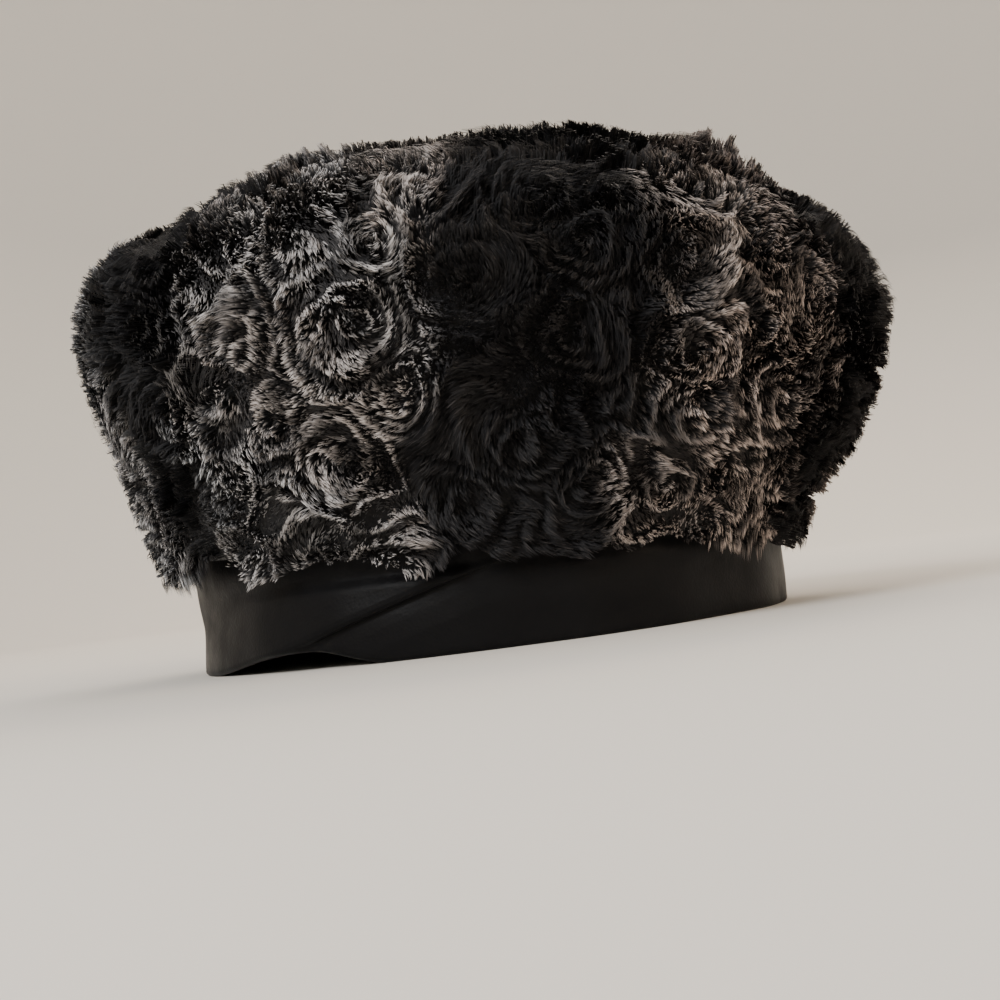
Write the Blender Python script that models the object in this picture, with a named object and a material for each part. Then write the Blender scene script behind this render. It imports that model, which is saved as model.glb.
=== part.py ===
"""Faux fur beret that rests on its rim, front towards -Y, in metres with +Z up.

A doubled faux leather band carries a hollow crown of two panels of faux fur, side and top. Each panel is
a thin wall, its backing, with its long curled pile round it as leaning locks fused to one layer.
"""

import math
from collections import namedtuple

import bpy
import bmesh
from mathutils import Vector, noise

MM = 0.001

# Driving dimensions of the band
RIM_HALF_WIDTH = 90.5 * MM
RIM_HALF_DEPTH = 101.0 * MM
BAND_WALL = 2.6 * MM
BAND_TOP = 37.0 * MM
BAND_WAVE = 0.7 * MM
BAND_WAVES_ROUND = 5.0

# Diagonal fold in the front of the band, from its foot on the rim up to the seam
FOLD_FOOT_AZIMUTH = math.radians(-35.0)
FOLD_RUN = math.radians(34.0)
FOLD_CLIMB = 15.5 * MM
FOLD_STEP = 2.2 * MM
FOLD_BLEND = math.radians(6.0)
FOLD_FADE = math.radians(48.0)
FOLD_LIFT = 5.0 * MM
FOLD_LIFT_LEFT = math.radians(34.0)
FOLD_LIFT_RIGHT = math.radians(17.0)

# Driving dimensions of the fur: depths below the tips of the pile
PILE_DEPTH = 10.0 * MM
FUR_DEPTH = 13.0 * MM
HEM_TILT = math.radians(3.1)
HEM_TUCK = 2.0 * MM
HEM_FULL_PILE_AT = 0.12
GAP = 0.3 * MM

# Locks of the pile
LOCK_HEIGHT = 5.5 * MM
LOCK_HEIGHT_VARIATION = 0.3
LOCK_LEAN = 4.5 * MM
LOCK_DROOP = 4.0 * MM
LOCK_TIP_SCALE = 0.34

# Rosettes, the round swirls in which the pile lies
ROSETTE_RADIUS = 17.0 * MM
ROSETTE_CLEARANCE = 22.0 * MM
ROSETTE_RELIEF = 1.6 * MM
ROSETTE_SPIRAL = math.radians(28.0)

# The crown is wider on its +X side, so the middle of the whole lies this far from the middle of the rim.
CROWN_OVERHANG = 8.0 * MM

# Rows and columns of faces
COLUMNS = 72
BAND_ROWS = 6
BAND_INNER_ROWS = 2
SIDE_ROWS = 11
WALL_ROWS = 4
TOP_WIDE_ROWS = 3
TOP_NARROW_ROWS = 5
TOP_WALL_ROWS = 2

# Shares of the way up the crown: where the wall is clear of the band, the seam between the panels and the
# last ring before the top
WALL_START = 0.16
SEAM_AT = 0.585
LAST_RING_AT = 0.955

# Sections of the crown over the tips of the pile, in mm and degrees, from the hem to the top. Each is an
# ellipse whose middle is shifted to +X and which tilts down towards +X.
Section = namedtuple("Section", "height shift tilt half_width half_depth")
CROWN_SECTIONS = [
    Section(height=21.8, shift=-0.5, tilt=3.1, half_width=98.4, half_depth=108.8),
    Section(height=39.6, shift=-0.3, tilt=4.9, half_width=105.2, half_depth=115.0),
    Section(height=57.6, shift=3.2, tilt=5.3, half_width=116.2, half_depth=124.0),
    Section(height=75.6, shift=5.2, tilt=5.4, half_width=123.4, half_depth=129.0),
    Section(height=92.8, shift=7.0, tilt=5.2, half_width=126.8, half_depth=130.6),
    Section(height=108.4, shift=8.2, tilt=5.3, half_width=123.6, half_depth=127.0),
    Section(height=122.4, shift=9.4, tilt=5.2, half_width=112.0, half_depth=115.5),
    Section(height=133.4, shift=12.0, tilt=4.6, half_width=92.5, half_depth=96.0),
    Section(height=142.4, shift=14.5, tilt=4.0, half_width=71.0, half_depth=74.5),
    Section(height=149.0, shift=15.0, tilt=3.4, half_width=46.5, half_depth=49.0),
    Section(height=152.8, shift=15.0, tilt=2.0, half_width=20.0, half_depth=21.0),
    Section(height=153.6, shift=15.0, tilt=0.0, half_width=0.0, half_depth=0.0),
]

# Rosettes that stand out on the front, at a share of the way up and an azimuth in degrees
Rosette = namedtuple("Rosette", "along azimuth")
FRONT_ROSETTES = [
    Rosette(along=0.23, azimuth=-15.0),
    Rosette(along=0.14, azimuth=-33.0),
    Rosette(along=0.35, azimuth=-28.0),
    Rosette(along=0.22, azimuth=10.0),
    Rosette(along=0.35, azimuth=2.0),
    Rosette(along=0.34, azimuth=30.0),
    Rosette(along=0.18, azimuth=44.0),
]

# Rows of rosettes that fill the rest of the crown
RosetteRow = namedtuple("RosetteRow", "along count first_azimuth")
ROSETTE_ROWS = [
    RosetteRow(along=0.16, count=19, first_azimuth=4.0),
    RosetteRow(along=0.30, count=21, first_azimuth=13.0),
    RosetteRow(along=0.44, count=22, first_azimuth=2.0),
    RosetteRow(along=0.58, count=20, first_azimuth=10.0),
    RosetteRow(along=0.72, count=14, first_azimuth=0.0),
    RosetteRow(along=0.86, count=7, first_azimuth=20.0),
    RosetteRow(along=1.00, count=1, first_azimuth=0.0),
]


def smooth_step(value):
    """Return 0 below 0, 1 above 1 and a smooth rise between."""
    value = min(max(value, 0.0), 1.0)
    return value * value * (3.0 - 2.0 * value)


def spline(a, b, c, d, t):
    """Return the smooth value at a share t of the way from b to c, with a before them and d after."""
    bend = 2 * a - 5 * b + 4 * c - d
    twist = 3 * b - a - 3 * c + d
    return 0.5 * (2 * b + (c - a) * t + bend * t**2 + twist * t**3)


def spread(first, last, rows):
    """Return the shares of the way at the borders of equal rows."""
    return [first + (last - first) * row / rows for row in range(rows + 1)]


def azimuths(columns):
    """Return the azimuth of each column, 0 at the front and positive towards +X."""
    return [math.tau * column / columns - math.pi for column in range(columns)]


# The crown's form

def section_at(along):
    """Return the crown's section at a share of the way from the hem, 0, to the top, 1."""
    last = len(CROWN_SECTIONS) - 1
    place = min(max(along, 0.0), 1.0) * last
    low = min(int(place), last - 1)
    rows = [CROWN_SECTIONS[min(max(low + step, 0), last)] for step in (-1, 0, 1, 2)]
    return Section(*(spline(*column, place - low) for column in zip(*rows)))


def crown_point(along, azimuth):
    """Return the place of the pile's tips."""
    section = section_at(along)
    tilt = math.radians(section.tilt)
    reach = section.half_width * math.sin(azimuth)
    return MM * Vector((
        section.shift + reach * math.cos(tilt),
        -section.half_depth * math.cos(azimuth),
        section.height - reach * math.sin(tilt),
    ))


def crown_axes(along, azimuth):
    """Return the unit directions up the crown's side and out of it."""
    step = 0.01
    up = crown_point(along + step, azimuth) - crown_point(max(along - step, 0.0), azimuth)
    around = crown_point(along, azimuth + step) - crown_point(along, azimuth - step)
    return up.normalized(), around.cross(up).normalized()


def rosette_centres():
    """Return the centres of the rosettes, those on the front first."""
    centres = [crown_point(r.along, math.radians(r.azimuth)) for r in FRONT_ROSETTES]
    for row in ROSETTE_ROWS:
        for index in range(row.count):
            azimuth = math.radians(row.first_azimuth) + math.tau * index / row.count
            centre = crown_point(row.along, azimuth)
            if all((centre - other).length > ROSETTE_CLEARANCE for other in centres):
                centres.append(centre)
    return centres


ROSETTE_CENTRES = rosette_centres()


def from_rosette(point):
    """Return the offset of a point from the closest rosette's centre."""
    return min((point - centre for centre in ROSETTE_CENTRES), key=lambda offset: offset.length)


def skin_point(along, azimuth):
    """Return the surface between the locks, where each rosette's ring is raised and its middle sunk."""
    tip = crown_point(along, azimuth)
    distance = from_rosette(tip).length
    relief = -ROSETTE_RELIEF * math.cos(math.tau * min(distance / ROSETTE_RADIUS, 1.0))
    pile = LOCK_HEIGHT * (0.5 + 0.5 * smooth_step(along / HEM_FULL_PILE_AT))
    return tip - crown_axes(along, azimuth)[1] * (pile - relief * smooth_step(along / HEM_FULL_PILE_AT))


def wall_point(along, azimuth, depth):
    """Return a point at a depth below the tips of the pile."""
    return crown_point(along, azimuth) - crown_axes(along, azimuth)[1] * depth


def top_middle(depth):
    """Return the middle of the top at a depth below the tips of its pile."""
    return crown_point(1.0, 0.0) - Vector((0.0, 0.0, depth))


# The band's form

def band_top(azimuth):
    """Return the height of the seam between band and fur, which falls towards +X."""
    return BAND_TOP - RIM_HALF_WIDTH * math.sin(azimuth) * math.tan(HEM_TILT)


def band_foot(azimuth):
    """Return the height of the lower edge, which lifts off the ground at the foot of the fold."""
    away = azimuth - FOLD_FOOT_AZIMUTH
    share = away / (FOLD_LIFT_RIGHT if away > 0 else FOLD_LIFT_LEFT)
    if abs(share) >= 1.0:
        return 0.0
    return FOLD_LIFT * 0.5 * (1.0 + math.cos(math.pi * share))


def fold_rise(azimuth, height):
    """Return how far the overlapping layer stands out, full at the crease and fading towards -X."""
    crease = FOLD_FOOT_AZIMUTH + FOLD_RUN * (height - FOLD_LIFT) / FOLD_CLIMB
    before = crease - azimuth
    return FOLD_STEP * smooth_step(before / FOLD_BLEND + 0.5) * (1.0 - smooth_step(before / FOLD_FADE))


def band_inside(azimuth, height):
    """Return a point of the band's inner face."""
    return band_face(azimuth, height, -BAND_WALL - fold_rise(azimuth, height))


def band_face(azimuth, height, outwards=0.0):
    """Return a point of the band's outer face, moved outwards by a distance."""
    x = math.sin(azimuth)
    y = -math.cos(azimuth)
    out = Vector((x / RIM_HALF_WIDTH, y / RIM_HALF_DEPTH, 0.0)).normalized()
    wave = BAND_WAVE * math.sin(BAND_WAVES_ROUND * azimuth)
    rise = fold_rise(azimuth, height) + wave
    return Vector((RIM_HALF_WIDTH * x, RIM_HALF_DEPTH * y, height)) + out * (rise + outwards)


def band_cover(azimuth, height):
    """Return a point beside the band that clears its face at every height under the fur."""
    hem = skin_point(0.0, azimuth).z
    column = math.tau / COLUMNS
    near = [azimuth + step * column for step in (-1, 0, 1)]
    covered = spread(hem, band_top(azimuth), BAND_ROWS)
    highest = max(fold_rise(a, z) for a in near for z in covered)
    return band_face(azimuth, height, highest - fold_rise(azimuth, height) + GAP)


# Rings of vertices and the faces between them

def add_ring(bm, points):
    """Add a vertex at each point, measured from the middle of the whole."""
    return [bm.verts.new(point - Vector((CROWN_OVERHANG, 0.0, 0.0))) for point in points]


def bridge(bm, low, high):
    """Join two rings with quads, and return them."""
    count = len(low)
    pairs = [(i, (i + 1) % count) for i in range(count)]
    return [bm.faces.new((low[i], low[j], high[j], high[i])) for i, j in pairs]


def bridge_to_half(bm, wide, narrow):
    """Join a ring to one with half as many vertices."""
    for i, corner in enumerate(narrow):
        following = narrow[(i + 1) % len(narrow)]
        first, second, third = (wide[(2 * i + step) % len(wide)] for step in range(3))
        bm.faces.new((first, second, corner))
        bm.faces.new((second, following, corner))
        bm.faces.new((second, third, following))


def fan(bm, ring, point):
    """Close a ring with triangles to a middle point."""
    middle = add_ring(bm, [point])[0]
    for i, vert in enumerate(ring):
        bm.faces.new((vert, ring[(i + 1) % len(ring)], middle))


# The locks

def pile_direction(along, azimuth):
    """Return the way the pile lies: round its rosette and a little towards its centre."""
    up, out = crown_axes(along, azimuth)
    offset = from_rosette(crown_point(along, azimuth))
    radial = offset - out * offset.dot(out)
    if radial.length < MM:
        return -up
    radial.normalize()
    return out.cross(radial) * math.cos(ROSETTE_SPIRAL) - radial * math.sin(ROSETTE_SPIRAL)


def lock_lean(along, azimuth, row_share):
    """Return how a lock leans: down at the hem, along its pile elsewhere, and never over the seam."""
    up = crown_axes(along, azimuth)[0]
    if along < row_share:
        return -up * LOCK_DROOP
    lean = pile_direction(along, azimuth) * LOCK_LEAN
    if abs(along - SEAM_AT) < row_share:
        lean -= up * lean.dot(up)
    return lean


def lock_height(point):
    """Return a lock's height, which varies a little over the crown."""
    return LOCK_HEIGHT * (1.0 + LOCK_HEIGHT_VARIATION * noise.noise(point / ROSETTE_RADIUS))


def add_locks(bm, strips):
    """Extrude every other face of each strip into a lock that narrows to its tip.

    A strip is its faces, the share of the way up at its middle and the share that its row takes.
    """
    bm.normal_update()
    place = bm.faces.layers.int["place"]
    leans = [Vector()]
    chosen = []
    for row, (faces, along, row_share) in enumerate(strips):
        columns = len(faces)
        half_column = math.pi / columns
        for column in range(row % 2, columns, 2):
            azimuth = azimuths(columns)[column] + half_column
            faces[column][place] = len(leans)
            leans.append(lock_lean(along, azimuth, row_share))
            chosen.append(faces[column])
    for face in bmesh.ops.extrude_discrete_faces(bm, faces=chosen)["faces"]:
        middle = face.calc_center_median()
        tip = middle + face.normal * lock_height(middle) + leans[face[place]]
        for vert in face.verts:
            vert.co = tip + (vert.co - middle) * LOCK_TIP_SCALE


# The pieces

def build_band(bm):
    """Build the doubled band with its fold: outer face, top, inner face and lower edge."""
    columns = azimuths(COLUMNS)
    rings = []
    for face, shares in ((band_face, spread(0.0, 1.0, BAND_ROWS)),
                         (band_inside, spread(1.0, 0.0, BAND_INNER_ROWS))):
        for share in shares:
            heights = [band_foot(a) + share * (band_top(a) - band_foot(a)) for a in columns]
            rings.append(add_ring(bm, [face(a, z) for a, z in zip(columns, heights)]))
    for low, high in zip(rings, rings[1:] + rings[:1]):
        bridge(bm, low, high)


def wall_rings(bm, depth):
    """Add the rings of the side at a depth, from the seam with the top down to just over the band."""
    return [
        add_ring(bm, [wall_point(along, a, depth) for a in azimuths(COLUMNS)])
        for along in spread(SEAM_AT, WALL_START, WALL_ROWS)
    ]


def build_crown_side(bm):
    """Build the side's backing, a thin wall that stands on the band's top edge."""
    columns = azimuths(COLUMNS)
    seam = [band_top(a) + GAP for a in columns]
    foot_inside = add_ring(bm, [band_inside(a, z) for a, z in zip(columns, seam)])
    foot_outside = add_ring(bm, [band_face(a, z) for a, z in zip(columns, seam)])
    outside = wall_rings(bm, PILE_DEPTH)
    inside = wall_rings(bm, FUR_DEPTH)
    rings = outside + [foot_outside, foot_inside] + inside[::-1]
    for low, high in zip(rings, rings[1:] + rings[:1]):
        bridge(bm, low, high)


def build_side_pile(bm):
    """Build the side's pile: its locks, and inside them a layer round the wall that hangs over the band."""
    columns = azimuths(COLUMNS)
    alongs = spread(0.0, SEAM_AT, SIDE_ROWS)
    outer = [add_ring(bm, [skin_point(along, a) for a in columns]) for along in alongs]
    hem = [skin_point(0.0, a).z + HEM_TUCK for a in columns]
    seam = [band_top(a) + GAP for a in columns]
    over_band = [
        add_ring(bm, [band_cover(a, z) for a, z in zip(columns, seam)]),
        add_ring(bm, [band_cover(a, z) for a, z in zip(columns, hem)]),
    ]
    rings = outer + wall_rings(bm, PILE_DEPTH - GAP) + over_band
    strips = [bridge(bm, low, high) for low, high in zip(rings, rings[1:] + rings[:1])]
    row_share = SEAM_AT / SIDE_ROWS
    bmesh.ops.recalc_face_normals(bm, faces=bm.faces)
    add_locks(bm, [(strips[row], alongs[row] + 0.5 * row_share, row_share) for row in range(SIDE_ROWS)])


def seam_ring(bm, points):
    """Add the top panel's ring beside the side panel's ring, a gap further up the crown."""
    gaps = [crown_axes(SEAM_AT, a)[0] * GAP for a in azimuths(COLUMNS)]
    return add_ring(bm, [point + gap for point, gap in zip(points, gaps)])


def add_top_layer(bm, depth):
    """Add the top panel's surface at a depth, and return its ring beside the seam."""
    edge = seam_ring(bm, [wall_point(SEAM_AT, a, depth) for a in azimuths(COLUMNS)])
    rings = [
        add_ring(bm, [wall_point(along, a, depth) for a in azimuths(COLUMNS // 2)])
        for along in spread(SEAM_AT, LAST_RING_AT, TOP_WALL_ROWS + 1)[1:]
    ]
    bridge_to_half(bm, edge, rings[0])
    for low, high in zip(rings, rings[1:]):
        bridge(bm, low, high)
    fan(bm, rings[-1], top_middle(depth))
    return edge


def build_crown_top(bm):
    """Build the top's backing, a thin domed disc."""
    bridge(bm, add_top_layer(bm, PILE_DEPTH), add_top_layer(bm, FUR_DEPTH))


def build_top_pile(bm):
    """Build the top's pile: its locks on a layer over the disc."""
    columns = azimuths(COLUMNS)
    half_columns = azimuths(COLUMNS // 2)
    alongs = spread(SEAM_AT, LAST_RING_AT, TOP_WIDE_ROWS + TOP_NARROW_ROWS)
    edge = seam_ring(bm, [skin_point(SEAM_AT, a) for a in columns])
    wide = [edge] + [
        add_ring(bm, [skin_point(along, a) for a in columns]) for along in alongs[1:TOP_WIDE_ROWS + 1]
    ]
    narrow = [
        add_ring(bm, [skin_point(along, a) for a in half_columns]) for along in alongs[TOP_WIDE_ROWS + 1:]
    ]
    strips = [bridge(bm, low, high) for low, high in zip(wide, wide[1:])]
    bridge_to_half(bm, wide[-1], narrow[0])
    narrow_strips = [bridge(bm, low, high) for low, high in zip(narrow, narrow[1:])]
    fan(bm, narrow[-1], top_middle(LOCK_HEIGHT))
    bridge(bm, edge, add_top_layer(bm, PILE_DEPTH - GAP))
    bmesh.ops.recalc_face_normals(bm, faces=bm.faces)
    row_share = alongs[1] - alongs[0]
    middles = [along + 0.5 * row_share for along in alongs]
    locked = list(zip(strips, middles)) + list(zip(narrow_strips, middles[TOP_WIDE_ROWS + 1:]))
    add_locks(bm, [(faces, along, row_share) for faces, along in locked])


def make_material(name, colour, roughness, sheen):
    """Return a plain finish for one piece."""
    material = bpy.data.materials.new(name)
    material.use_nodes = True
    shader = material.node_tree.nodes["Principled BSDF"]
    shader.inputs["Base Color"].default_value = (*colour, 1.0)
    shader.inputs["Roughness"].default_value = roughness
    shader.inputs["Metallic"].default_value = 0.0
    shader.inputs["Sheen Weight"].default_value = sheen
    return material


def add_piece(name, build, material):
    """Build one piece as an object of its own."""
    bm = bmesh.new()
    bm.faces.layers.int.new("place")
    build(bm)
    bmesh.ops.recalc_face_normals(bm, faces=bm.faces)
    mesh = bpy.data.meshes.new(name)
    bm.to_mesh(mesh)
    bm.free()
    mesh.materials.append(material)
    mesh.shade_smooth()
    mesh.set_sharp_from_angle(angle=math.radians(50.0))
    bpy.context.scene.collection.objects.link(bpy.data.objects.new(name, mesh))


def main():
    """Build the beret in an empty scene."""
    for thing in list(bpy.data.objects):
        bpy.data.objects.remove(thing, do_unlink=True)
    leather = make_material("black_faux_leather", colour=(0.013, 0.013, 0.015), roughness=0.42, sheen=0.0)
    side_knit = make_material("side_backing", colour=(0.02, 0.02, 0.021), roughness=0.95, sheen=0.1)
    top_knit = make_material("top_backing", colour=(0.021, 0.02, 0.02), roughness=0.95, sheen=0.1)
    side_fur = make_material("side_fur", colour=(0.075, 0.072, 0.07), roughness=0.9, sheen=0.4)
    top_fur = make_material("top_fur", colour=(0.08, 0.077, 0.075), roughness=0.9, sheen=0.4)
    add_piece("band", build_band, leather)
    add_piece("crown_side", build_crown_side, side_knit)
    add_piece("crown_top", build_crown_top, top_knit)
    add_piece("side_pile", build_side_pile, side_fur)
    add_piece("top_pile", build_top_pile, top_fur)


main()
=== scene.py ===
"""Looks of the faux fur beret: strands of curled pile over a dark backing, and a faux leather band.

Lengths are metres unless a name says mm. Azimuth 0 is the front of the hat, towards -Y, and positive
azimuth turns towards +X. Along runs from the hem of the crown, 0, to the middle of its top, 1.
"""

import math
from collections import namedtuple

import bpy
import numpy as np
from mathutils import Matrix, Vector, kdtree


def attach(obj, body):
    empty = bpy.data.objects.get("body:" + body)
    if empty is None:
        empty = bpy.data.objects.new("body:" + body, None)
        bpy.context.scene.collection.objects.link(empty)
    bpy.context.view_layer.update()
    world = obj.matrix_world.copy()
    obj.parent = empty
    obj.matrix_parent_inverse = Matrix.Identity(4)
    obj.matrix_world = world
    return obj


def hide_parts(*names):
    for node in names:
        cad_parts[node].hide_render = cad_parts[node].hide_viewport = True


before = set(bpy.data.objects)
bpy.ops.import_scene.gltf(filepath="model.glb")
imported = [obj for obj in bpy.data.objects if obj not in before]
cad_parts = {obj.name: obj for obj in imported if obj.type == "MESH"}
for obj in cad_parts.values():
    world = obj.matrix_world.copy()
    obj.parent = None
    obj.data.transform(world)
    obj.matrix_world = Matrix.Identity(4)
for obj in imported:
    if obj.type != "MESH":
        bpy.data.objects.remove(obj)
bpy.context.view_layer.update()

MM = 0.001
SEED = 7
UP = np.array([0.0, 0.0, 1.0])
SHORTEST = 1e-9

# A smooth random field is a sum of waves of about one length, and each use has its size and its seed
Field = namedtuple("Field", "size seed")
WAVE_COUNT = 10
WAVE_SPREAD = (0.7, 1.4)

# The crown over the tips of its pile, as ellipses from the hem to the top, in mm and degrees
CROWN_OVERHANG_MM = 8.0
Section = namedtuple("Section", "height shift tilt half_width half_depth")
CROWN_SECTIONS = np.array([
    Section(height=21.8, shift=-0.5, tilt=3.1, half_width=98.4, half_depth=108.8),
    Section(height=39.6, shift=-0.3, tilt=4.9, half_width=105.2, half_depth=115.0),
    Section(height=57.6, shift=3.2, tilt=5.3, half_width=116.2, half_depth=124.0),
    Section(height=75.6, shift=5.2, tilt=5.4, half_width=123.4, half_depth=129.0),
    Section(height=92.8, shift=7.0, tilt=5.2, half_width=126.8, half_depth=130.6),
    Section(height=108.4, shift=8.2, tilt=5.3, half_width=123.6, half_depth=127.0),
    Section(height=122.4, shift=9.4, tilt=5.2, half_width=112.0, half_depth=115.5),
    Section(height=133.4, shift=12.0, tilt=4.6, half_width=92.5, half_depth=96.0),
    Section(height=142.4, shift=14.5, tilt=4.0, half_width=71.0, half_depth=74.5),
    Section(height=149.0, shift=15.0, tilt=3.4, half_width=46.5, half_depth=49.0),
    Section(height=152.8, shift=15.0, tilt=2.0, half_width=20.0, half_depth=21.0),
    Section(height=153.6, shift=15.0, tilt=0.0, half_width=0.0, half_depth=0.0),
])
SEAM_AT = 0.585
AXES_LAST = 0.985
CELL_ROWS = 160
CELL_COLUMNS = 240

# The band, as in the solids
RIM_HALF_WIDTH = 90.5 * MM
RIM_HALF_DEPTH = 101.0 * MM
BAND_WALL = 2.6 * MM
EDGE_RADIUS = 0.5 * BAND_WALL
BAND_TOP = 37.0 * MM
BAND_WAVE = 0.7 * MM
BAND_WAVES_ROUND = 5.0
BAND_FACE_ROWS = 36
BAND_INNER_ROWS = 10
BAND_EDGE_ROWS = 5
HEM_TILT = math.radians(3.1)

# The pile and its backing, as depths below the tips
BACKING_DEPTH = 7.2 * MM
BACKING_DEPTH_AT_HEM = 4.0 * MM
INSIDE_DEPTH = 13.0 * MM
ROOT_TUCK = 0.3 * MM
STRAND_WIDTH = 0.42 * MM
SIDE_STRANDS = 312000
SIDE_TUFTS = 48000
TOP_STRANDS = 118000
TOP_TUFTS = 18000

# Colours, linear
FUR_ROOT = (0.0095, 0.0094, 0.0102)
FUR_DARK_TIP = (0.0125, 0.012, 0.0132)
FUR_COOL_FROST = (0.545, 0.545, 0.555)
# The frost colour towards +X is painted warm light, as if a warm lamp lit that side
FUR_FROST_IN_PAINTED_WARM_LIGHT = (0.51, 0.405, 0.35)
KNIT_DARK = (0.006, 0.006, 0.007)
KNIT_LIGHT = (0.018, 0.017, 0.017)
LEATHER_DARK = (0.0035, 0.0035, 0.004)
LEATHER_LIGHT = (0.0065, 0.0064, 0.0069)
PALE_FLOOR = (0.74, 0.71, 0.66, 1.0)


# Forms of the crown

def crown_points(along, azimuth):
    """Return points over the tips of the pile for arrays of places."""
    last = len(CROWN_SECTIONS) - 1
    place = np.clip(along, 0.0, 1.0) * last
    low = np.minimum(place.astype(int), last - 1)
    t = (place - low)[:, None]
    a, b, c, d = (CROWN_SECTIONS[np.clip(low + step, 0, last)] for step in (-1, 0, 1, 2))
    bend = 2 * a - 5 * b + 4 * c - d
    twist = 3 * b - a - 3 * c + d
    height, shift, tilt, half_width, half_depth = (
        0.5 * (2 * b + (c - a) * t + bend * t**2 + twist * t**3)
    ).T
    reach = half_width * np.sin(azimuth)
    return MM * np.stack([
        shift - CROWN_OVERHANG_MM + reach * np.cos(np.radians(tilt)),
        -half_depth * np.cos(azimuth),
        height - reach * np.sin(np.radians(tilt)),
    ], axis=1)


def unit(vectors):
    """Return the vectors with length 1."""
    return vectors / np.maximum(np.linalg.norm(vectors, axis=1, keepdims=True), SHORTEST)


def ramp(value):
    """Return 0 below 0, 1 above 1 and a smooth rise between."""
    value = np.clip(value, 0.0, 1.0)
    return value * value * (3.0 - 2.0 * value)


def crown_axes(along, azimuth):
    """Return the unit directions round the crown, up it and out of it."""
    step = 0.01
    place = np.minimum(along, AXES_LAST)
    below = np.maximum(place - step, 0)
    up = unit(crown_points(place + step, azimuth) - crown_points(below, azimuth))
    around = unit(crown_points(place, azimuth + step) - crown_points(place, azimuth - step))
    return around, up, unit(np.cross(around, up))


def waves(points, field):
    """Return a smooth random value from about -1 to 1 at each point, with bumps of the field's size."""
    rng = np.random.default_rng(field.seed)
    directions = unit(rng.normal(size=(WAVE_COUNT, 3))) * rng.uniform(*WAVE_SPREAD, (WAVE_COUNT, 1))
    directions = directions * math.pi / field.size
    phases = rng.uniform(0, math.tau, WAVE_COUNT)
    return np.sin(points @ directions.T + phases).sum(1) / math.sqrt(WAVE_COUNT / 2)


def random_places(count, low, high, rng):
    """Return places spread evenly over the crown's surface between two shares of the way up."""
    along = low + (high - low) * (np.arange(CELL_ROWS) + 0.5) / CELL_ROWS
    azimuth = math.tau * (np.arange(CELL_COLUMNS) + 0.5) / CELL_COLUMNS - math.pi
    s, a = (grid.ravel() for grid in np.meshgrid(along, azimuth, indexing="ij"))
    ds = (high - low) / CELL_ROWS
    da = math.tau / CELL_COLUMNS
    across = crown_points(s, a + da / 2) - crown_points(s, a - da / 2)
    rise = crown_points(s + ds / 2, a) - crown_points(s - ds / 2, a)
    area = np.linalg.norm(np.cross(across, rise), axis=1)
    cell = rng.choice(len(area), size=count, p=area / area.sum())
    along = s[cell] + ds * rng.uniform(-0.5, 0.5, count)
    azimuth = a[cell] + da * rng.uniform(-0.5, 0.5, count)
    return along, azimuth


# The swirls of the pile

# The rosettes that show best at the front. Azimuth is in degrees and radius in mm, and turn is the way
# that the rosette winds.
Rosette = namedtuple("Rosette", "along azimuth radius turn")
FRONT_ROSETTES = [
    Rosette(along=0.31, azimuth=-15, radius=17, turn=1),
    Rosette(along=0.21, azimuth=-28, radius=12, turn=-1),
    Rosette(along=0.44, azimuth=-21, radius=12, turn=-1),
    Rosette(along=0.32, azimuth=-31, radius=11, turn=1),
    Rosette(along=0.15, azimuth=-20, radius=12, turn=1),
    Rosette(along=0.13, azimuth=-38, radius=11, turn=1),
    Rosette(along=0.21, azimuth=-9, radius=11, turn=-1),
    Rosette(along=0.46, azimuth=-32, radius=11, turn=1),
    Rosette(along=0.17, azimuth=5, radius=15, turn=1),
    Rosette(along=0.29, azimuth=10, radius=15, turn=-1),
    Rosette(along=0.39, azimuth=-1, radius=13, turn=1),
    Rosette(along=0.44, azimuth=14, radius=13, turn=-1),
    Rosette(along=0.41, azimuth=26, radius=12, turn=1),
    Rosette(along=0.45, azimuth=38, radius=12, turn=-1),
    Rosette(along=0.29, azimuth=27, radius=12, turn=-1),
    Rosette(along=0.23, azimuth=43, radius=12, turn=1),
    Rosette(along=0.19, azimuth=28, radius=12, turn=1),
    Rosette(along=0.11, azimuth=40, radius=11, turn=-1),
    Rosette(along=0.10, azimuth=27, radius=12, turn=-1),
    Rosette(along=0.10, azimuth=15, radius=13, turn=1),
    Rosette(along=0.35, azimuth=46, radius=12, turn=-1),
    Rosette(along=0.35, azimuth=-49, radius=13, turn=-1),
    Rosette(along=0.22, azimuth=-47, radius=12, turn=1),
    Rosette(along=0.08, azimuth=-5, radius=11, turn=1),
]

# The computed rows, as shares of the way up, and how far a rosette may stray from its even place
ROSETTE_ROWS = (0.03, 0.13, 0.23, 0.33, 0.43, 0.53, 0.63, 0.73, 0.83, 0.93)
ROSETTE_SPACING = 25.0 * MM
ROSETTE_CLEARANCE = 0.72
ROSETTE_STRAY_AROUND = 0.2
ROSETTE_STRAY_ALONG = 0.02
ROSETTE_RADIUS_MM = (10.5, 15.0)
ROSETTE_BLEND = 1.6 * MM
RING_POINTS = 90
SWIRL_PITCH = 6.6 * MM
SWIRL_CORE = 6.5 * MM
SWIRL_LEAST_DISTANCE = 0.5 * MM
SWIRL_CHUNK = 20000
SPIRAL_FULL = 4.5 * MM
SPIRAL_FADE = 7.0 * MM
WARP = 2.2 * MM
WARP_ASIDE_FIELD = Field(size=22 * MM, seed=11)
WARP_ABOVE_FIELD = Field(size=22 * MM, seed=12)
WOBBLE = 1.1 * MM
WOBBLE_ASIDE_FIELD = Field(size=7 * MM, seed=13)
WOBBLE_ABOVE_FIELD = Field(size=7 * MM, seed=14)


def crown_point(along, azimuth):
    """Return the point over the tips of the pile at one place."""
    return crown_points(np.array([along]), np.array([azimuth]))[0]


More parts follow.
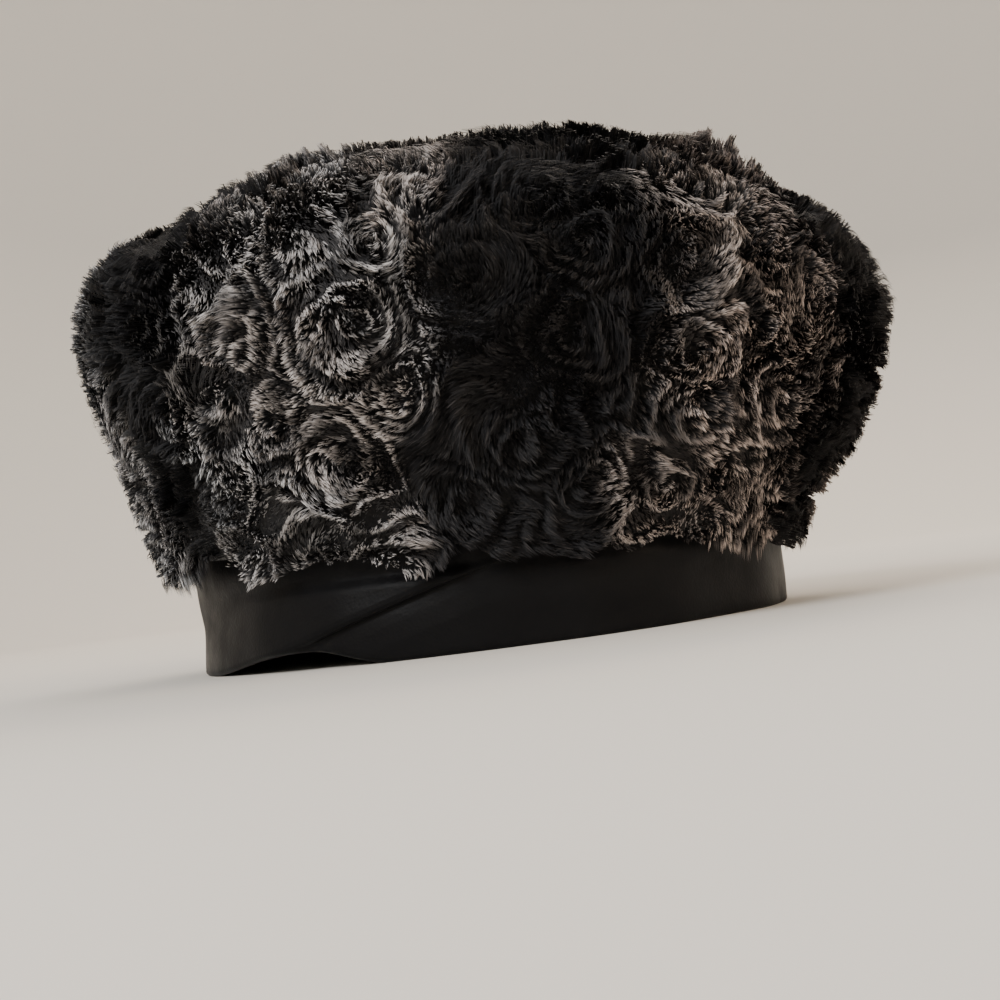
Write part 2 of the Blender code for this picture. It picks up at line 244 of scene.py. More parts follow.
def row_count(along):
    """Return how many rosettes the computed row at a share of the way up has room for."""
    ring = crown_points(np.full(RING_POINTS, along), np.linspace(0, math.tau, RING_POINTS))
    length = np.linalg.norm(np.diff(ring, axis=0), axis=1).sum()
    return max(1, round(length / ROSETTE_SPACING))


def rosette_places():
    """Return the rosettes of the front and of the computed rows that fill the rest of the crown."""
    rng = np.random.default_rng(SEED)
    rosettes = [Rosette(r.along, math.radians(r.azimuth), r.radius * MM, r.turn) for r in FRONT_ROSETTES]
    centres = [crown_point(r.along, r.azimuth) for r in rosettes]
    for row, along in enumerate(ROSETTE_ROWS):
        count = row_count(along)
        for index in range(count):
            stray = rng.uniform(-ROSETTE_STRAY_AROUND, ROSETTE_STRAY_AROUND)
            azimuth = math.tau * (index + 0.5 * (row % 2) + stray) / count
            rosette = Rosette(
                along=along + rng.uniform(-ROSETTE_STRAY_ALONG, ROSETTE_STRAY_ALONG), azimuth=azimuth,
                radius=rng.uniform(*ROSETTE_RADIUS_MM) * MM, turn=rng.choice([-1, 1]),
            )
            centre = crown_point(rosette.along, azimuth)
            reach = [r.radius + rosette.radius for r in rosettes]
            gaps = np.linalg.norm(np.array(centres) - centre, axis=1)
            if np.all(gaps > ROSETTE_CLEARANCE * np.array(reach)):
                rosettes.append(rosette)
                centres.append(centre)
    return rosettes, np.array(centres)


ROSETTES, ROSETTE_CENTRES = rosette_places()
ROSETTE_TURNS = np.array([r.turn for r in ROSETTES])
ROSETTE_RADII = np.array([r.radius for r in ROSETTES])
ROSETTE_TWISTS = np.random.default_rng(SEED).uniform(-math.pi, math.pi, len(ROSETTES))
ROSETTE_STARTS = ROSETTE_RADII + SWIRL_PITCH * np.random.default_rng(SEED + 1).random(len(ROSETTES))
Swirl = namedtuple("Swirl", "share rise_way crest_way")


def swirl_phase(points, around, up):
    """Return the turns from the rosettes to each point, and the ways out from them and round them.

    Every rosette counts by how near it is, so the rings of neighbours run into each other in smooth bands,
    and close to its middle the nearest one winds them up to a spiral.
    """
    offset = points[:, None] - ROSETTE_CENTRES[None]
    x = np.einsum("ijk,ik->ij", offset, around)
    y = np.einsum("ijk,ik->ij", offset, up)
    distance = np.maximum(np.linalg.norm(offset, axis=2), SWIRL_LEAST_DISTANCE)
    level = distance - ROSETTE_STARTS
    near = distance - ROSETTE_RADII
    weight = np.exp((near.min(axis=1, keepdims=True) - near) / ROSETTE_BLEND)
    weight /= weight.sum(axis=1, keepdims=True)
    away_x, away_y = (weight * x / distance).sum(1), (weight * y / distance).sum(1)
    turning = weight * ROSETTE_TURNS / np.maximum(distance, SWIRL_CORE)
    round_x, round_y = (-turning * y).sum(1), (turning * x).sum(1)
    chosen = (np.arange(len(points)), near.argmin(axis=1))
    twist = np.arctan2(y[chosen], x[chosen]) + ROSETTE_TWISTS[chosen[1]]
    wound = ROSETTE_TURNS[chosen[1]] * (1.0 - ramp((distance[chosen] - SPIRAL_FULL) / SPIRAL_FADE))
    phase = (weight * level).sum(1) / SWIRL_PITCH - wound * (twist / math.tau)
    slope_x = away_x / SWIRL_PITCH + wound * y[chosen] / (math.tau * distance[chosen] ** 2)
    slope_y = away_y / SWIRL_PITCH - wound * x[chosen] / (math.tau * distance[chosen] ** 2)
    rise_way = unit(around * slope_x[:, None] + up * slope_y[:, None])
    crest_way = around * round_x[:, None] + up * round_y[:, None]
    return phase, rise_way, crest_way


def swirl_at(points, around, up):
    """Return where each point lies between two crests of its swirl, and the ways over and along them.

    share is 0 just outside a crest and 1 at the next one, rise_way points to that next crest and crest_way
    runs along it, shorter where swirls that turn against each other meet.
    """
    aside = WARP * waves(points, WARP_ASIDE_FIELD) + WOBBLE * waves(points, WOBBLE_ASIDE_FIELD)
    above = WARP * waves(points, WARP_ABOVE_FIELD) + WOBBLE * waves(points, WOBBLE_ABOVE_FIELD)
    warped = points + around * aside[:, None] + up * above[:, None]
    parts = max(1, len(points) // SWIRL_CHUNK)
    chunks = zip(*(np.array_split(array, parts) for array in (warped, around, up)))
    results = zip(*(swirl_phase(*chunk) for chunk in chunks))
    phase, rise_way, crest_way = (np.concatenate(rows) for rows in results)
    return Swirl(phase - np.floor(phase), rise_way, crest_way)


# The frosted stripes. Those of the side are in degrees and turn to their place at the hem over the lower
# part of the way up. Those of the top run from front to back and are in mm.

STRIPE_EDGE = math.radians(7.0)
STRIPE_TURN = 0.45
STRIPE_WANDER = math.radians(2.2)
STRIPE_FIELD = Field(size=16 * MM, seed=21)
FrostPatch = namedtuple("FrostPatch", "azimuth half_width hem_azimuth hem_half_width strength")
SIDE_FROST = [
    FrostPatch(azimuth=-22.0, half_width=16.0, hem_azimuth=-28.0, hem_half_width=18.5, strength=1.0),
    FrostPatch(azimuth=36.0, half_width=11.5, hem_azimuth=36.0, hem_half_width=18.0, strength=0.95),
    FrostPatch(azimuth=-82.0, half_width=14.0, hem_azimuth=-74.0, hem_half_width=20.0, strength=0.9),
    FrostPatch(azimuth=94.0, half_width=13.0, hem_azimuth=98.0, hem_half_width=15.0, strength=0.8),
    FrostPatch(azimuth=155.0, half_width=17.0, hem_azimuth=153.0, hem_half_width=17.0, strength=0.9),
    FrostPatch(azimuth=-145.0, half_width=16.0, hem_azimuth=-142.0, hem_half_width=17.0, strength=0.85),
]
TopStripe = namedtuple("TopStripe", "x half_width strength")
TOP_FROST = [
    TopStripe(x=-29.0, half_width=27.0, strength=1.0),
    TopStripe(x=74.0, half_width=18.0, strength=0.7),
    TopStripe(x=-104.0, half_width=14.0, strength=0.6),
]
TOP_STRIPE_EDGE = 10.0 * MM
TOP_STRIPE_WANDER = 5 * MM
TOP_STRIPE_FIELD = Field(size=30 * MM, seed=22)


def side_frost(points, along, azimuth):
    """Return how frosted the tips of the side are, from 0 in the dark stripes to 1 in the light ones."""
    wander = STRIPE_WANDER * waves(points, STRIPE_FIELD)
    low = 1.0 - ramp(along / STRIPE_TURN)
    frost = np.zeros(len(points))
    for patch in SIDE_FROST:
        middle = np.radians(patch.azimuth + (patch.hem_azimuth - patch.azimuth) * low)
        half = np.radians(patch.half_width + (patch.hem_half_width - patch.half_width) * low)
        away = np.abs((azimuth + wander - middle + math.pi) % math.tau - math.pi)
        inside = ramp((half - away) / STRIPE_EDGE + 0.5)
        frost = np.maximum(frost, patch.strength * inside)
    return frost


def top_frost(points):
    """Return how frosted the tips of the top are, in the same measure."""
    wander = TOP_STRIPE_WANDER * waves(points, TOP_STRIPE_FIELD)
    frost = np.zeros(len(points))
    for stripe in TOP_FROST:
        away = np.abs(points[:, 0] + wander - stripe.x * MM)
        inside = ramp((stripe.half_width * MM - away) / TOP_STRIPE_EDGE + 0.5)
        frost = np.maximum(frost, stripe.strength * inside)
    return frost


def frost_at(points, along, azimuth):
    """Return how frosted the tips are on either side of the seam between side and top."""
    return np.where(along > SEAM_AT, top_frost(points), side_frost(points, along, azimuth))


# The strands

# The places where the pile stands proud or is parted, as the outline of the photo shows. Azimuth is in
# degrees. Radius is across, length from front to back and rise out of the crown, all in mm.
Swell = namedtuple("Swell", "along azimuth radius length rise")
SWELLS = [
    Swell(along=0.585, azimuth=-59, radius=12, length=34, rise=-6.5),
    Swell(along=0.700, azimuth=-46, radius=16, length=34, rise=2.5),
    Swell(along=0.785, azimuth=-16, radius=18, length=34, rise=-2.0),
    Swell(along=0.770, azimuth=32, radius=16, length=34, rise=2.0),
    Swell(along=0.685, azimuth=57, radius=13, length=34, rise=5.0),
    Swell(along=0.250, azimuth=-80, radius=24, length=34, rise=-3.0),
]


def swell_at(points):
    """Return how far the pile stands proud of its even form at each point."""
    rise = np.zeros(len(points))
    for swell in SWELLS:
        centre = crown_point(swell.along, math.radians(swell.azimuth))
        away = (points - centre) / (MM * np.array([swell.radius, swell.length, swell.radius]))
        rise += swell.rise * MM * np.exp(-(away**2).sum(1))
    return rise


# Where the strands start, and how the edge of the pile waves at the hem, as shares of the way up
FUR_START = 0.008
HEM_SHARE = 0.07
HEM_WAVE = 0.009
HEM_WAVE_FADE = 0.1
HEM_FIELD = Field(size=9 * MM, seed=36)

# The crest in a swirl, as shares of the way between two crests
CREST_START = 0.3
CREST_RISE = 0.4
CREST_AT = 0.82
CREST_FALL = 0.14
OVER_LEAST = 0.1
OVER_CREST = 0.6

# How far the tips stand out of the crown and lean along the crest: evenly, with a smooth field and each
# on its own. The nap is the way that the whole pile is brushed, and hang is how far it falls at the hem.
Spread = namedtuple("Spread", "even wave own")
LIFT_MM = Spread(even=-4.6, wave=0.9, own=0.25)
LIFT_CREST_MM = 5.4
LIFT_FIELD = Field(size=14 * MM, seed=31)
LIFT_LEAST = -5.8 * MM
LIFT_LEAST_AT_HEM = -1.0 * MM
LEAN_MM = Spread(even=1.9, wave=0.9, own=0.5)
LEAN_FIELD = Field(size=18 * MM, seed=32)
NAP_ASIDE_FIELD = Field(size=30 * MM, seed=33)
NAP_ABOVE_FIELD = Field(size=30 * MM, seed=34)
NAP_FALL = 0.4
NAP_REACH = 1.2 * MM
HANG_MM = 2.4
HANG_WAVE_MM = 1.2
HANG_LEAST_MM = 0.8
HANG_FIELD = Field(size=10 * MM, seed=35)
TIP_OWN_MM = 0.4

# How much the tufts draw together and how the strands bend
TUFT_PULL = (0.25, 0.7)
BEND_AT = 0.6
BEND_REACH = 0.3
BEND_HEIGHT = (0.78, 1.0)
STRAND_ROLL = 0.35

# How light the tips are, as factors on the frost of their stripe, and painted shade in the valleys
STREAK_FIELD = Field(size=8 * MM, seed=41)
STREAK_START = -1.1
STREAK_RISE = 1.4
STREAK_LEAST = 0.35
STREAK_GAIN = 0.7
# Painted shade: the tips in the valleys between crests are darkened, down to a tenth of their frost at the
# bottom
VALLEY_SHADE_START = 0.35
VALLEY_SHADE_RISE = 0.18
VALLEY_SHADE_LEAST = 0.1
TUFT_TONE = (0.6, 1.1)
OWN_TONE = (0.8, 1.1)
GLINT = 0.05
GLINT_POWER = 5
# Painted warm light: the frost warms towards +X, with a random tint wave on top and a cap on both
TINT_FIELD = Field(size=40 * MM, seed=42)
TINT_WAVE = 0.12
WARMTH_AND_TINT_MOST = 0.7

# The colours are kept to a few levels, so each has its own column in the bake layout
TONE_LEVELS = 24
WARMTH_AND_TINT_LEVELS = 6
BAKE_LOW = 0.02
BAKE_SPAN = 0.96
BAKE_HALF_WIDTH = 0.3

Strands = namedtuple("Strands", "root middle tip side tone tint azimuth")


def strand_lift(skin, crest, hem, rng):
    """Return how far the tips stand out of the crown, high on the crests and never deep at the hem."""
    own = LIFT_MM.own * rng.normal(size=len(skin))
    lift = (LIFT_MM.even + LIFT_CREST_MM * crest + LIFT_MM.wave * waves(skin, LIFT_FIELD) + own) * MM
    lift = np.maximum(lift + swell_at(skin), LIFT_LEAST)
    return lift + hem * np.maximum(LIFT_LEAST_AT_HEM - lift, 0.0)


def bare_strands(along, azimuth, rng):
    """Return the roots and tips of single strands, with the way out, the crown and the swirl there."""
    around, up, out = crown_axes(along, azimuth)
    skin = crown_points(along, azimuth)
    swirl = swirl_at(skin, around, up)
    count = len(along)
    hem = ramp((HEM_SHARE - along) / HEM_SHARE)
    crest = ramp((swirl.share - CREST_START) / CREST_RISE)
    crest = crest * (1.0 - ramp((swirl.share - CREST_AT) / CREST_FALL))
    lift = strand_lift(skin, crest, hem, rng)
    over = (CREST_AT - swirl.share) * SWIRL_PITCH * (OVER_LEAST + OVER_CREST * crest)
    own = LEAN_MM.own * rng.normal(size=count)
    lean = (LEAN_MM.even + LEAN_MM.wave * waves(skin, LEAN_FIELD) + own) * MM
    nap = around * waves(skin, NAP_ASIDE_FIELD)[:, None]
    nap = nap + up * (waves(skin, NAP_ABOVE_FIELD) - NAP_FALL)[:, None]
    hang = hem * np.maximum(HANG_MM + HANG_WAVE_MM * waves(skin, HANG_FIELD), HANG_LEAST_MM) * MM
    root = skin - out * (backing_depth(along)[:, None] + ROOT_TUCK)
    tip = (
        skin + out * lift[:, None] + swirl.rise_way * over[:, None] + swirl.crest_way * lean[:, None]
        + nap * NAP_REACH - up * hang[:, None] + rng.normal(size=(count, 3)) * TIP_OWN_MM * MM
    )
    return root, tip, out, skin, swirl


def tuft_tips(root, tip, count, rng):
    """Draw the tips of neighbouring strands together into small tufts, and number the tufts."""
    seeds = rng.choice(len(root), size=count, replace=False)
    tree = kdtree.KDTree(count)
    for index, seed in enumerate(seeds):
        tree.insert(root[seed], index)
    tree.balance()
    tuft = np.array([tree.find(point)[1] for point in root])
    pull = rng.uniform(*TUFT_PULL, len(root))[:, None]
    return tip + pull * (tip[seeds[tuft]] - tip), tuft


def strand_bend(root, tip, out, rng):
    """Return the points where the strands bend over, and the ways across their flat sides."""
    reach = tip - root
    height = (reach * out).sum(1)[:, None]
    stand = rng.uniform(*BEND_HEIGHT, len(root))[:, None]
    middle = root + BEND_REACH * (reach - height * out) + stand * height * out
    way = unit(tip - middle)
    flat = unit(np.cross(way, out))
    roll = rng.uniform(-STRAND_ROLL, STRAND_ROLL, len(root))[:, None]
    return middle, flat * np.cos(roll) + np.cross(way, flat) * np.sin(roll)


def strand_tone(skin, frost, share, tuft, tufts, rng):
    """Return how light each tip is: frosted on crests, in streaks, by tufts and each on its own; valleys
    get painted shade.
    """
    streak = ramp((waves(skin, STREAK_FIELD) - STREAK_START) / STREAK_RISE)
    # Painted shade that darkens the tips in the valleys between crests
    painted_valley_shade = ramp((share - VALLEY_SHADE_START) / VALLEY_SHADE_RISE)
    tone = frost * (STREAK_LEAST + STREAK_GAIN * streak) * (VALLEY_SHADE_LEAST + (1 - VALLEY_SHADE_LEAST) * painted_valley_shade)
    tone = tone * rng.uniform(*TUFT_TONE, tufts)[tuft] * rng.uniform(*OWN_TONE, len(skin))
    return np.clip(tone + GLINT * rng.random(len(skin)) ** GLINT_POWER, 0, 1)


def make_strands(count, low, high, tufts, seed):
    """Return strands spread over the crown between two shares of the way up."""
    rng = np.random.default_rng(seed)
    along, azimuth = random_places(count, low, high, rng)
    rise = HEM_WAVE * (1.0 + waves(crown_points(along, azimuth), HEM_FIELD))
    along = along + rise * ramp(1.0 - along / HEM_WAVE_FADE)
    root, tip, out, skin, swirl = bare_strands(along, azimuth, rng)
    tip, tuft = tuft_tips(root, tip, tufts, rng)
    middle, side = strand_bend(root, tip, out, rng)
    frost = frost_at(skin, along, azimuth)
    tone = strand_tone(skin, frost, swirl.share, tuft, tufts, rng)
    # Painted warm light towards +X, plus a random tint that differs from place to place
    tint = 0.5 + 0.5 * np.sin(azimuth) + TINT_WAVE * waves(skin, TINT_FIELD)
    return Strands(root, middle, tip, side, tone, np.clip(tint, 0, WARMTH_AND_TINT_MOST), azimuth)


def mesh_from_arrays(name, points, corners, sizes):
    """Return a mesh object from vertices, face corners and face sizes."""
    mesh = bpy.data.meshes.new(name)
    mesh.vertices.add(len(points))
    mesh.vertices.foreach_set("co", points.astype(np.float32).ravel())
    mesh.loops.add(len(corners))
    mesh.loops.foreach_set("vertex_index", corners.astype(np.int32))
    mesh.polygons.add(len(sizes))
    starts = np.concatenate([[0], np.cumsum(sizes)[:-1]])
    mesh.polygons.foreach_set("loop_start", starts.astype(np.int32))
    mesh.update(calc_edges=True)
    mesh.validate()
    mesh.shade_smooth()
    piece = bpy.data.objects.new(name, mesh)
    bpy.context.scene.collection.objects.link(piece)
    return piece


def strand_piece(name, strands, chosen, material):
    """Build the chosen strands as thin bent diamonds, with what their colour follows as attributes."""
    root, middle, tip, side = (array[chosen] for array in strands[:4])
    count = len(root)
    half = 0.5 * STRAND_WIDTH
    points = np.stack([root, middle - side * half, middle + side * half, tip], axis=1).reshape(-1, 3)
    first = 4 * np.arange(count)[:, None]
    corners = (first + np.array([0, 2, 1, 1, 2, 3])).ravel()
    sizes = np.full(2 * count, 3)
    piece = mesh_from_arrays(name, points, corners, sizes)
    mesh = piece.data
    along = np.tile([0.0, BEND_AT, BEND_AT, 1.0], count)
    tone = np.round(strands.tone[chosen] * (TONE_LEVELS - 1))
    tint = np.round(strands.tint[chosen] * (WARMTH_AND_TINT_LEVELS - 1))
    shares = (tone / (TONE_LEVELS - 1), tint / (WARMTH_AND_TINT_LEVELS - 1))
    facts = np.stack([*(np.repeat(share, 4) for share in shares), along], axis=1)
    mesh.attributes.new("strand", "FLOAT_VECTOR", "POINT").data.foreach_set("vector", facts.ravel())
    layer = mesh.uv_layers.new(name="OFBake")
    layer.data.foreach_set("uv", bake_places(tone * WARMTH_AND_TINT_LEVELS + tint).ravel())
    mesh.materials.append(material)
    return piece


def bake_places(column):
    """Return the bake layout of strands: a narrow column for each colour, with the root at its foot."""
    columns = TONE_LEVELS * WARMTH_AND_TINT_LEVELS
    middle = (column + 0.5) / columns
    aside = BAKE_HALF_WIDTH / columns * np.array([0, 1, -1, -1, 1, 0])
    rows = BAKE_LOW + BAKE_SPAN * np.array([0.0, BEND_AT, BEND_AT, BEND_AT, BEND_AT, 1.0])
    return np.stack([(middle[:, None] + aside).ravel(), np.tile(rows, len(column))], axis=1)


# The backing of the pile. Its places up the crown are shares of the way up.

SKIRT_START = 0.034
WALL_START = 0.16
BACKING_FULL_AT = 0.2
TOP_DISC_START = SEAM_AT + 0.003
TOP_DISC_END = 0.97
SKIRT_CLEARANCE = 3.2 * MM
SKIRT_TUCK = 2.5 * MM
GAP = 0.3 * MM
BACKING_COLUMNS = 144
SIDE_OUTER_ROWS = 26
SIDE_INNER_ROWS = 16
TOP_ROWS = 18


def backing_depth(along):
    """Return how deep the backing lies below the tips of the pile, less at the hem."""
    full = ramp(np.asarray(along) / BACKING_FULL_AT)
    return BACKING_DEPTH_AT_HEM + (BACKING_DEPTH - BACKING_DEPTH_AT_HEM) * full


def shell_ring(along, depth):
    """Return a ring of points at a depth below the tips of the pile."""
    azimuth = math.tau * np.arange(BACKING_COLUMNS) / BACKING_COLUMNS - math.pi
    place = np.full(BACKING_COLUMNS, along)
    return crown_points(place, azimuth) - crown_axes(place, azimuth)[2] * depth


def ring_mesh(name, rings, closed, material, caps=()):
    """Return a piece from rings of points, joined in turn, with a middle point for each cap."""
    columns = len(rings[0])
    points = np.concatenate(rings + [np.array(caps).reshape(-1, 3)])
    lows = np.arange(len(rings) if closed else len(rings) - 1)
    column = np.arange(columns)
    following = (column + 1) % columns
    quads = [
        np.stack([low * columns + column, low * columns + following,
                  high * columns + following, high * columns + column], axis=1)
        for low, high in zip(lows, (lows + 1) % len(rings))
    ]
    corners = np.concatenate(quads).ravel()
    sizes = np.full(len(corners) // 4, 4)
    for index, ring in zip(range(len(caps)), (0, len(rings) - 1)):
        middle = np.full(columns, len(rings) * columns + index)
        edge = (ring * columns + column, ring * columns + following)
        first, second = edge if ring else edge[::-1]
        corners = np.concatenate([corners, np.stack([first, second, middle], axis=1).ravel()])
        sizes = np.concatenate([sizes, np.full(columns, 3)])
    piece = mesh_from_arrays(name, points, corners, sizes)
    piece.data.materials.append(material)
    return piece


def side_backing(material):
    """Build the side's backing from its skirt over the band up to the seam, and back down inside."""
    columns = math.tau * np.arange(BACKING_COLUMNS) / BACKING_COLUMNS - math.pi
    rising = np.linspace(SKIRT_START, SEAM_AT, SIDE_OUTER_ROWS)
    falling = np.linspace(SEAM_AT, WALL_START, SIDE_INNER_ROWS)
    outside = [shell_ring(s, backing_depth(s)) for s in rising]
    inside = [shell_ring(s, INSIDE_DEPTH) for s in falling]
    seat = band_top(columns) + GAP
    skirt = crown_points(np.full(BACKING_COLUMNS, SKIRT_START), columns)[:, 2] + SKIRT_TUCK
    under = [
        band_point(columns, seat, -BAND_WALL), band_point(columns, seat, 0.0),
        band_point(columns, seat, SKIRT_CLEARANCE), band_point(columns, skirt, SKIRT_CLEARANCE),
    ]
    return ring_mesh("side_backing", outside + inside + under, True, material)


def top_backing(material):
    """Build the top's backing, a thin domed disc."""
    alongs = np.linspace(TOP_DISC_START, TOP_DISC_END, TOP_ROWS)
    outside = [shell_ring(s, BACKING_DEPTH) for s in alongs]
    inside = [shell_ring(s, INSIDE_DEPTH) for s in alongs]
    middle = crown_point(1.0, 0.0)
    caps = [middle - UP * INSIDE_DEPTH, middle - UP * BACKING_DEPTH]
    return ring_mesh("top_backing", inside[::-1] + outside, False, material, caps)


# The band

BAND_COLUMNS = 600
FOLD_FOOT = math.radians(-35.0)
FOLD_RUN = math.radians(34.0)
FOLD_CLIMB = 15.5 * MM
FOLD_LIFT = 5.0 * MM
FOLD_LIFT_LEFT = math.radians(34.0)
FOLD_LIFT_RIGHT = math.radians(17.0)
FOLD_HIDDEN_ABOVE = 24.0 * MM
FOLD_SHEAR_FULL = math.radians(38.0)
FOLD_SHEAR_FADE = math.radians(105.0)
FOLD_FADE = 4 * MM
FOLD_FREE_SHARE = 0.1
FOLD_STEPS = 8
INNER_BULGE_MOST = 0.8 * MM
BULGE = 0.55 * MM
BULGE_FIELD = Field(size=34 * MM, seed=51)
DENT = 0.16 * MM
DENT_FIELD = Field(size=15 * MM, seed=52)
DENT_FLATNESS = 1.8
SEAM_DEPTH = -0.7 * MM
SEAM_WIDTH = 0.9 * MM
BAND_RADIUS = 0.5 * (RIM_HALF_WIDTH + RIM_HALF_DEPTH)
FOLD_SLOPE = math.atan2(FOLD_CLIMB, FOLD_RUN * BAND_RADIUS)

# The fold in section, across the crease from the overlapping layer to the layer under it, in mm: how far
# along the flat cloth, how far across after folding, and how far out of the band
FoldPoint = namedtuple("FoldPoint", "flat across rise")
FOLD_SECTION = np.array([
    FoldPoint(flat=-26.0, across=-26.0, rise=0.0),
    FoldPoint(flat=-16.0, across=-16.0, rise=1.0),
    FoldPoint(flat=-9.0, across=-9.0, rise=1.7),
    FoldPoint(flat=-5.0, across=-5.0, rise=2.0),
    FoldPoint(flat=-2.6, across=-2.5, rise=2.25),
    FoldPoint(flat=-1.6, across=-1.2, rise=2.15),
    FoldPoint(flat=-0.9, across=-0.4, rise=1.75),
    FoldPoint(flat=-0.4, across=0.0, rise=1.15),
    FoldPoint(flat=0.1, across=-0.25, rise=0.55),
    FoldPoint(flat=0.6, across=-0.6, rise=0.15),
    FoldPoint(flat=1.3, across=0.4, rise=-0.05),
    FoldPoint(flat=2.0, across=1.5, rise=0.15),
    FoldPoint(flat=4.2, across=4.0, rise=0.5),
    FoldPoint(flat=9.0, across=9.0, rise=0.9),
    FoldPoint(flat=16.0, across=16.0, rise=0.7),
    FoldPoint(flat=26.0, across=26.0, rise=0.0),
])


def band_top(azimuth):
    """Return the height of the seam between band and fur, which falls towards +X."""
    return BAND_TOP - RIM_HALF_WIDTH * np.sin(azimuth) * math.tan(HEM_TILT)


def band_foot(azimuth):
    """Return the height where the rounded lower edge starts, which lifts at the foot of the fold."""
    away = azimuth - FOLD_FOOT
    share = np.abs(away) / np.where(away > 0, FOLD_LIFT_RIGHT, FOLD_LIFT_LEFT)
    return EDGE_RADIUS + FOLD_LIFT * 0.5 * (1.0 + np.cos(math.pi * np.minimum(share, 1.0)))


def band_point(azimuth, height, outwards):
    """Return points beside the band's plain form, moved outwards by a distance."""
    x = np.sin(azimuth)
    y = -np.cos(azimuth)
    out = unit(np.stack([x / RIM_HALF_WIDTH, y / RIM_HALF_DEPTH, np.zeros_like(x)], axis=1))
    face = np.stack([RIM_HALF_WIDTH * x - CROWN_OVERHANG_MM * MM, RIM_HALF_DEPTH * y, height], axis=1)
    return face + out * np.reshape(outwards, (-1, 1))


def fold_run(height, foot=EDGE_RADIUS + FOLD_LIFT):
    """Return how far round the band a line beside the crease has come at a height, from its foot."""
    return FOLD_RUN * (np.minimum(height, FOLD_HIDDEN_ABOVE) - foot) / FOLD_CLIMB


def follow_fold(columns, share):
    """Return the azimuth and height at a share of the way up columns that run along the crease."""
    shear = 1.0 - ramp((np.abs(columns - FOLD_FOOT) - FOLD_SHEAR_FULL) / FOLD_SHEAR_FADE)
    foot = band_foot(columns)
    azimuth = columns
    for _ in range(FOLD_STEPS):
        height = foot + share * (band_top(azimuth) - foot)
        azimuth = columns + shear * fold_run(height, foot)
    return azimuth, height


def band_relief(azimuth, height):
    """Return the soft bulges and dents of the band, and the groove of the seam at its back."""
    place = band_point(azimuth, height, 0.0)
    bulges = BULGE * waves(place, BULGE_FIELD)
    dents = DENT * waves(place * np.array([1.0, 1.0, DENT_FLATNESS]), DENT_FIELD)
    seam = SEAM_DEPTH * np.exp(-((np.abs(azimuth) - math.pi) * BAND_RADIUS / SEAM_WIDTH) ** 2)
    return bulges + dents + seam + BAND_WAVE * np.sin(BAND_WAVES_ROUND * azimuth)


def fold_section(flat):
    """Return how far across and out of the band the fold takes each point of the flat cloth."""
    start, end, rise = FOLD_SECTION.T * MM
    return np.interp(flat, start, end - start), np.interp(flat, start, rise)


def band_face(columns, share):
    """Return the points of the outer face at a share of the way up, with the fold."""
    azimuth, height = follow_fold(columns, share)
    crease = FOLD_FOOT + fold_run(height)
    flat = (azimuth - crease) * BAND_RADIUS * math.sin(FOLD_SLOPE)
    shift, rise = fold_section(flat)
    shown = 1.0 - ramp((height - FOLD_HIDDEN_ABOVE + FOLD_FADE) / FOLD_FADE)
    azimuth = azimuth + shown * shift * math.sin(FOLD_SLOPE) / BAND_RADIUS
    height_shift = -shown * shift * math.cos(FOLD_SLOPE) * ramp(share / FOLD_FREE_SHARE)
    return azimuth, height + height_shift, shown * rise + band_relief(azimuth, height)


def band_piece(material):
    """Build the doubled band: outer face with its fold, top, inner face and rounded lower edge."""
    columns = math.tau * np.arange(BAND_COLUMNS) / BAND_COLUMNS - math.pi
    rings = []
    for share in np.linspace(0.0, 1.0, BAND_FACE_ROWS):
        azimuth, height, out = band_face(columns, share)
        rings.append(band_point(azimuth, height, out))
    for share in np.linspace(1.0, 0.0, BAND_INNER_ROWS):
        azimuth, height = follow_fold(columns, share)
        out = band_face(columns, share)[2]
        rings.append(band_point(azimuth, height, np.minimum(out, INNER_BULGE_MOST) - BAND_WALL))
    azimuth, height, out = band_face(columns, 0.0)
    inner = np.minimum(out, INNER_BULGE_MOST) - BAND_WALL
    for turn in np.linspace(0.0, math.pi, BAND_EDGE_ROWS + 2)[1:-1]:
        across = 0.5 * (inner + out) - 0.5 * (out - inner) * math.cos(turn)
        rings.append(band_point(azimuth, height - EDGE_RADIUS * math.sin(turn), across))
    return ring_mesh("band_cloth", rings, True, material)


# The materials

def new_material(name, roughness, specular, sheen=0.0):
    """Return a material with its node tree and its shader."""
    material = bpy.data.materials.new(name)
    material.use_nodes = True
    shader = material.node_tree.nodes["Principled BSDF"]
    shader.inputs["Roughness"].default_value = roughness
    shader.inputs["Specular IOR Level"].default_value = specular
    shader.inputs["Sheen Weight"].default_value = sheen
    shader.inputs["Sheen Roughness"].default_value = 0.5
    return material, material.node_tree, shader


def colour_between(tree, factor, first, second):
    """Return a colour that goes from the first to the second as the factor goes from 0 to 1."""
    mix = tree.nodes.new("ShaderNodeMix")
    mix.data_type = "RGBA"
    tree.links.new(factor, mix.inputs["Factor"])
    for socket, colour in ((mix.inputs[6], first), (mix.inputs[7], second)):
        if isinstance(colour, tuple):
            socket.default_value = (*colour, 1.0)
        else:
            tree.links.new(colour, socket)
    return mix.outputs[2]


def between(tree, value, low, high, to_low=0.0, to_high=1.0):
    """Return a value mapped smoothly from one range to another."""
    node = tree.nodes.new("ShaderNodeMapRange")
    node.interpolation_type = "SMOOTHSTEP"
    node.inputs["From Min"].default_value = low
    node.inputs["From Max"].default_value = high
    node.inputs["To Min"].default_value = to_low
    node.inputs["To Max"].default_value = to_high
    tree.links.new(value, node.inputs["Value"])
    return node.outputs["Result"]


